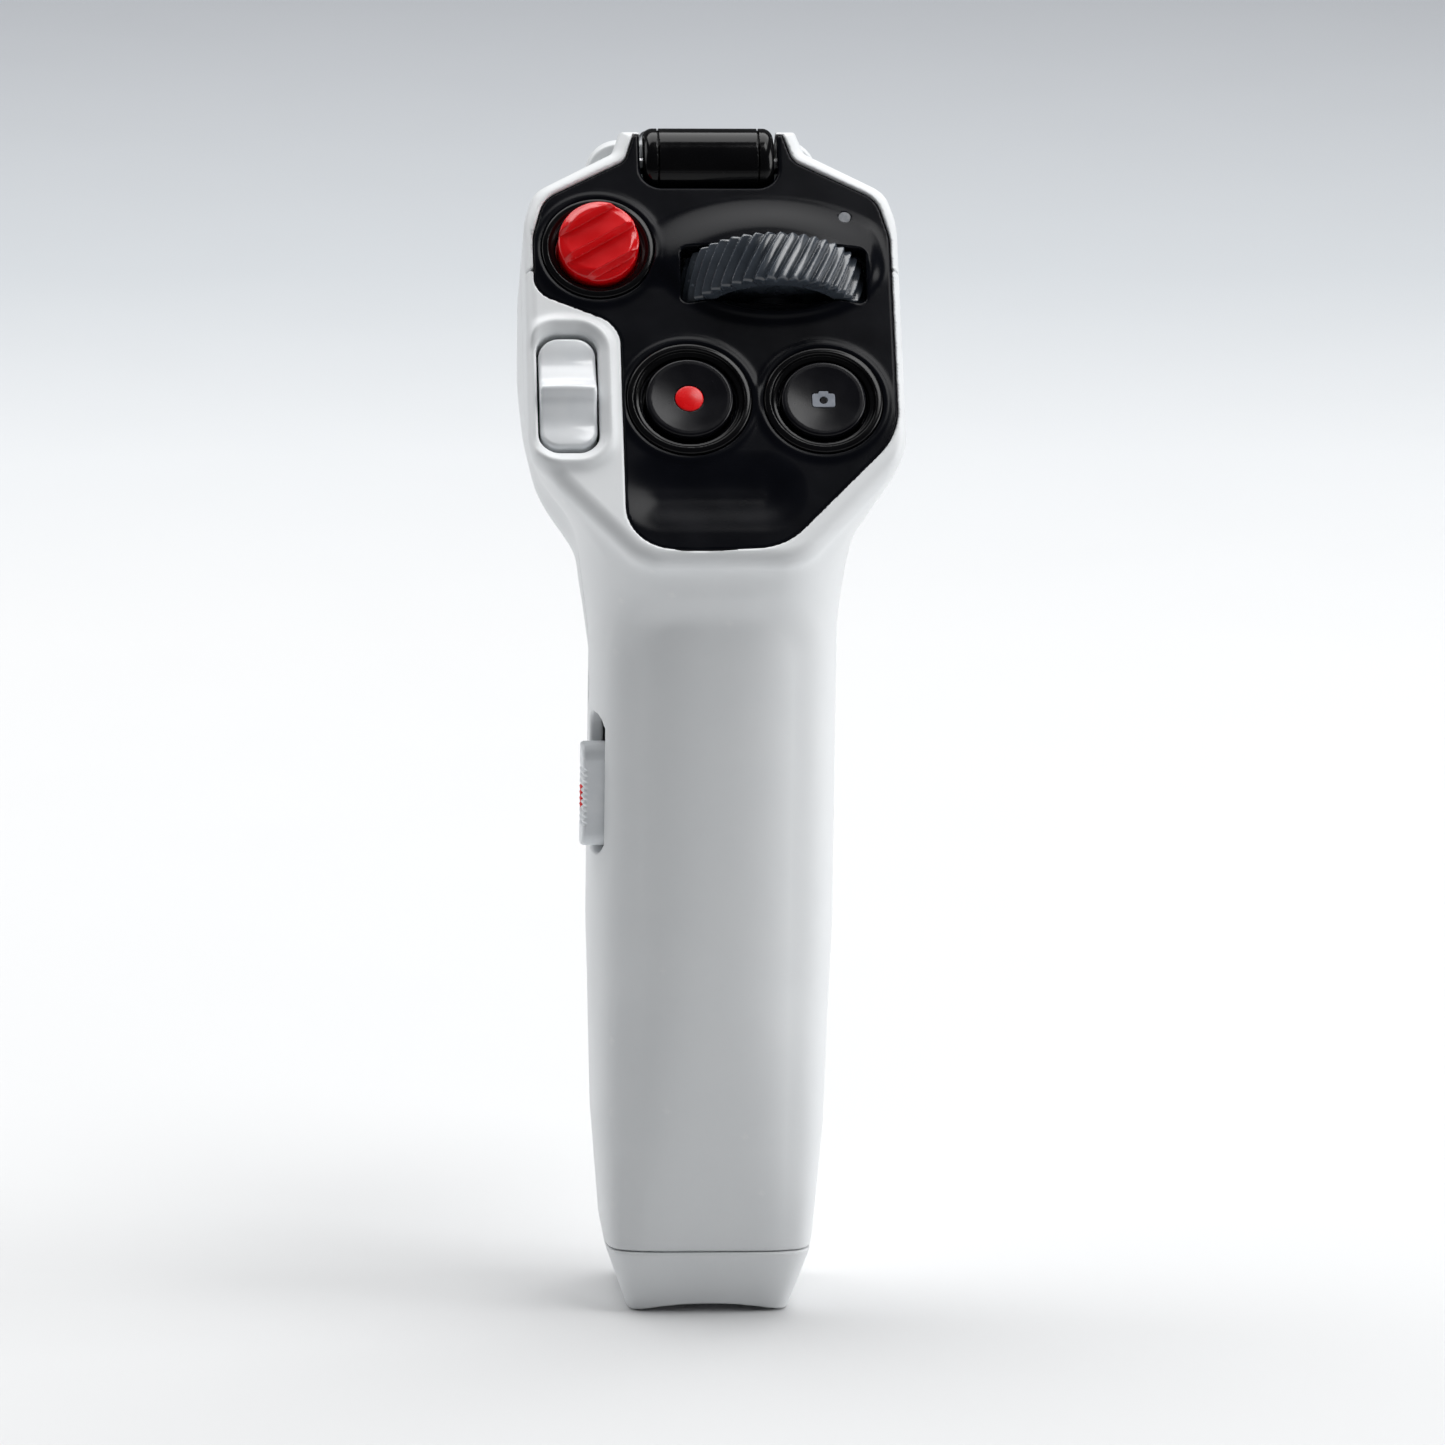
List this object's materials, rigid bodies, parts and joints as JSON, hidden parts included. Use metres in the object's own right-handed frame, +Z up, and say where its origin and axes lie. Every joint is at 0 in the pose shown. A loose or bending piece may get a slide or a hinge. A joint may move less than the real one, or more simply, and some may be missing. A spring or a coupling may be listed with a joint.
{
  "type": "wireless trigger grip",
  "caption": "One-hand wireless trigger grip: leaning thumb panel with keys, wheel, rocker and red key, front trigger, power slider and fold-out antenna, standing on its base.",
  "frame": {"origin": "middle of the base's flat underside", "axes": "+Z up along the grip, +Y towards the trigger side, -Y towards the thumb side, +X to the user's right"},
  "size_m": [0.0576, 0.064, 0.1737],
  "materials": {
    "white_casing": "fine matte",
    "black_panel": "satin",
    "black_gloss": "gloss",
    "wheel_grey": "semi-gloss",
    "button_black": "satin",
    "red_plastic": "satin gloss",
    "record_red": "gloss",
    "icon_grey": "matte",
    "rocker_white": "semi-gloss",
    "trigger_grey": "soft touch",
    "slider_white": "matte",
    "window_smoke": "clear smoke",
    "light_lens": "frosted",
    "board_green": "solder mask",
    "switch_black": "matte",
    "plunger_white": "matte",
    "steel": "turned",
    "shield_tin": "tinned",
    "copper_strip": "bright",
    "cell_wrap": "shrink wrap",
    "cradle_grey": "moulded"
  },
  "bodies": {
    "housing": {"antenna_pin": "steel", "base_cap": "white_casing", "battery_cell": "cell_wrap", "battery_cradle": "cradle_grey", "board_screws": "steel", "case_screws": "steel", "charge_board": "board_green", "control_board": "board_green", "control_panel": "black_panel", "front_shell": "white_casing", "hall_sensor": "switch_black", "head_cover": "white_casing", "main_board": "board_green", "photo_ring": "black_gloss", "photo_switch": "switch_black", "radio_module": "shield_tin", "rear_shell": "white_casing", "record_ring": "black_gloss", "record_switch": "switch_black", "red_ring": "black_gloss", "red_switch": "switch_black", "rocker_bracket": "cradle_grey", "rocker_pin": "steel", "rocker_switches": "switch_black", "side_window": "window_smoke", "slide_switch": "switch_black", "status_lamp": "plunger_white", "status_light": "light_lens", "trigger_pin": "steel", "usb_socket": "shield_tin", "vibration_motor": "shield_tin", "wheel_axle": "steel", "wheel_bracket": "steel", "wheel_encoder": "switch_black"},
    "red_key": {"red_button": "red_plastic", "red_plunger": "plunger_white"},
    "record_key": {"record_button": "button_black", "record_dot": "record_red", "record_plunger": "plunger_white"},
    "photo_key": {"photo_button": "button_black", "photo_icon": "icon_grey", "photo_plunger": "plunger_white"},
    "wheel": {"thumb_wheel": "wheel_grey"},
    "rocker": {"zoom_rocker": "rocker_white"},
    "trigger_lever": {"trigger": "trigger_grey", "trigger_magnet": "shield_tin", "trigger_spring": "steel"},
    "slider": {"power_slider": "slider_white", "slider_mark": "record_red"},
    "antenna": {"antenna_arm": "black_gloss", "antenna_paddle": "white_casing", "antenna_lid": "white_casing", "antenna_element": "copper_strip"}
  },
  "joints": [
    {"name": "red_press", "type": "slide", "parent": "housing", "child": "red_key", "axis": [0, 0.766, -0.6428], "range_m": [0, 0.001], "stiffness_N_per_m": 900},
    {"name": "record_press", "type": "slide", "parent": "housing", "child": "record_key", "axis": [0, 0.766, -0.6428], "range_m": [0, 0.0008], "stiffness_N_per_m": 900},
    {"name": "photo_press", "type": "slide", "parent": "housing", "child": "photo_key", "axis": [0, 0.766, -0.6428], "range_m": [0, 0.0008], "stiffness_N_per_m": 900},
    {"name": "wheel_spin", "type": "hinge", "parent": "housing", "child": "wheel", "pos_m": [0.009, 0.01524, 0.14998], "axis": [0, 0.6428, 0.766], "continuous": true},
    {"name": "rocker_tilt", "type": "hinge", "parent": "housing", "child": "rocker", "pos_m": [-0.0221, 0.00062, 0.13536], "axis": [1, 0, 0], "range_deg": [-5, 5], "stiffness_Nm_per_rad": 0.12},
    {"name": "trigger_pull", "type": "hinge", "parent": "housing", "child": "trigger_lever", "pos_m": [0, 0.033, 0.1346], "axis": [-1, 0, 0], "range_deg": [0, 9], "stiffness_Nm_per_rad": 0.3, "springref_deg": -2.86},
    {"name": "slider_travel", "type": "slide", "parent": "housing", "child": "slider", "axis": [0, 0, 1], "range_m": [0, 0.004]},
    {"name": "antenna_fold", "type": "hinge", "parent": "housing", "child": "antenna", "pos_m": [0, 0.02612, 0.16761], "axis": [1, 0, 0], "range_deg": [0, 150]}
  ]
}
